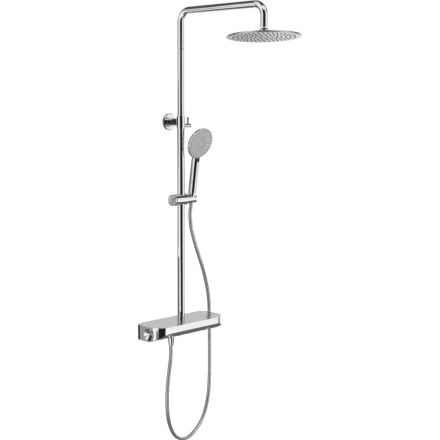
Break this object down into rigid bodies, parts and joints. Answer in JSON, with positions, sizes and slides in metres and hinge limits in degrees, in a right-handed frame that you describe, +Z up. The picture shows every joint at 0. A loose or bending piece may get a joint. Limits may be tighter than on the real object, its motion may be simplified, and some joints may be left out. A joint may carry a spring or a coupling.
{
  "type": "rainfall shower column",
  "caption": "Wall shower column with a shelf mixer, telescopic riser, swivelling arm with a ball-jointed rain head, and a hand shower with hose on a sliding holder.",
  "frame": {"origin": "on the finished wall face, midway between the two water inlets at their height", "axes": "+Y into the wall along the inlet unions, +Z up along the riser, +X along the wall to the right of someone facing it"},
  "size_m": [0.3762, 0.5979, 1.601],
  "materials": {
    "chrome": "polished",
    "plated_plastic": "chrome-plated",
    "spray_steel": "satin",
    "steel": "plain",
    "brass": "machined",
    "white_plastic": "smooth",
    "grey_plastic": "smooth",
    "rubber": "matte",
    "nozzle_rubber": "matte",
    "hose_skin": "smooth silver"
  },
  "bodies": {
    "column": {"inlet_unions": "chrome", "wall_rosettes": "chrome", "inlet_nuts": "chrome", "inlet_seals": "rubber", "check_valves": "white_plastic", "mixer_body": "brass", "thermostat_cartridge": "white_plastic", "diverter_cartridge": "white_plastic", "cartridge_nuts": "brass", "casing": "chrome", "casing_screws": "steel", "shelf_plate": "chrome", "plate_pads": "rubber", "hose_nipple": "chrome", "outlet_seal": "rubber", "lower_riser": "chrome", "base_seals": "rubber", "base_screw": "steel", "wall_flange": "chrome", "post_anchor": "brass", "post_screw": "steel", "riser_bracket": "chrome", "bracket_bush": "white_plastic", "clamp_shoe": "brass", "hose_nut_bottom": "chrome", "hose": "hose_skin"},
    "telescope": {"upper_riser": "chrome", "riser_seals": "rubber"},
    "arm": {"seam_ring": "chrome", "shower_arm": "chrome", "arm_spigot": "brass", "arm_seals": "rubber", "ball_stud": "chrome"},
    "seat": {"ball_seat": "white_plastic"},
    "rain_head": {"ball_nut": "chrome", "head_shell": "chrome", "spray_plate": "spray_steel", "head_gasket": "rubber", "rain_nozzles": "nozzle_rubber"},
    "lever": {"lock_lever": "chrome", "lock_pin": "chrome"},
    "slider": {"slider_body": "chrome", "slider_bush": "grey_plastic", "slider_shoe": "brass"},
    "grip": {"slider_knob": "chrome"},
    "holder": {"holder_washer": "grey_plastic", "handset_holder": "chrome"},
    "handset": {"handset_shell": "plated_plastic", "handset_insert": "white_plastic", "handset_face": "spray_steel", "handset_nozzles": "nozzle_rubber", "hose_nut_top": "chrome"},
    "flow": {"flow_knob": "plated_plastic", "flow_cap": "plated_plastic"},
    "temperature": {"temperature_knob": "plated_plastic", "temperature_cap": "plated_plastic", "button_spring": "steel"},
    "button": {"safety_button": "plated_plastic"}
  },
  "joints": [
    {"name": "telescope_slide", "type": "slide", "parent": "column", "child": "telescope", "axis": [0, 0, 1], "range_m": [-0.22, 0.11]},
    {"name": "arm_swivel", "type": "hinge", "parent": "telescope", "child": "arm", "pos_m": [0, -0.064, 1.009], "axis": [0, 0, 1], "range_deg": [-60, 60]},
    {"name": "head_tilt_front", "type": "hinge", "parent": "arm", "child": "seat", "pos_m": [0, -0.456, 1.052], "axis": [1, 0, 0], "range_deg": [-10, 10]},
    {"name": "head_tilt_side", "type": "hinge", "parent": "seat", "child": "rain_head", "pos_m": [0, -0.456, 1.052], "axis": [0, 1, 0], "range_deg": [-10, 10]},
    {"name": "lever_turn", "type": "hinge", "parent": "column", "child": "lever", "pos_m": [0.03, -0.064, 0.7375], "axis": [1, 0, 0], "range_deg": [-90, 0]},
    {"name": "slider_slide", "type": "slide", "parent": "column", "child": "slider", "axis": [0, 0, 1], "range_m": [-0.25, 0.05], "deforming": ["hose"]},
    {"name": "grip_turn", "type": "hinge", "parent": "slider", "child": "grip", "pos_m": [-0.04, -0.064, 0.47], "axis": [1, 0, 0], "range_deg": [-180, 0]},
    {"name": "holder_tilt", "type": "hinge", "parent": "slider", "child": "holder", "pos_m": [0.05, -0.064, 0.47], "axis": [1, 0, 0], "range_deg": [0, 20]},
    {"name": "handset_lift", "type": "slide", "parent": "holder", "child": "handset", "axis": [0, -0.1392, 0.9903], "range_m": [0, 0.06]},
    {"name": "flow_turn", "type": "hinge", "parent": "column", "child": "flow", "pos_m": [-0.17, -0.076, 0], "axis": [1, 0, 0], "range_deg": [-90, 90]},
    {"name": "temperature_turn", "type": "hinge", "parent": "column", "child": "temperature", "pos_m": [0.17, -0.076, 0], "axis": [1, 0, 0], "range_deg": [-60, 135]},
    {"name": "button_press", "type": "slide", "parent": "temperature", "child": "button", "axis": [-1, 0, 0], "range_m": [0, 0.002], "stiffness_N_per_m": 400, "springref_m": -0.002}
  ]
}
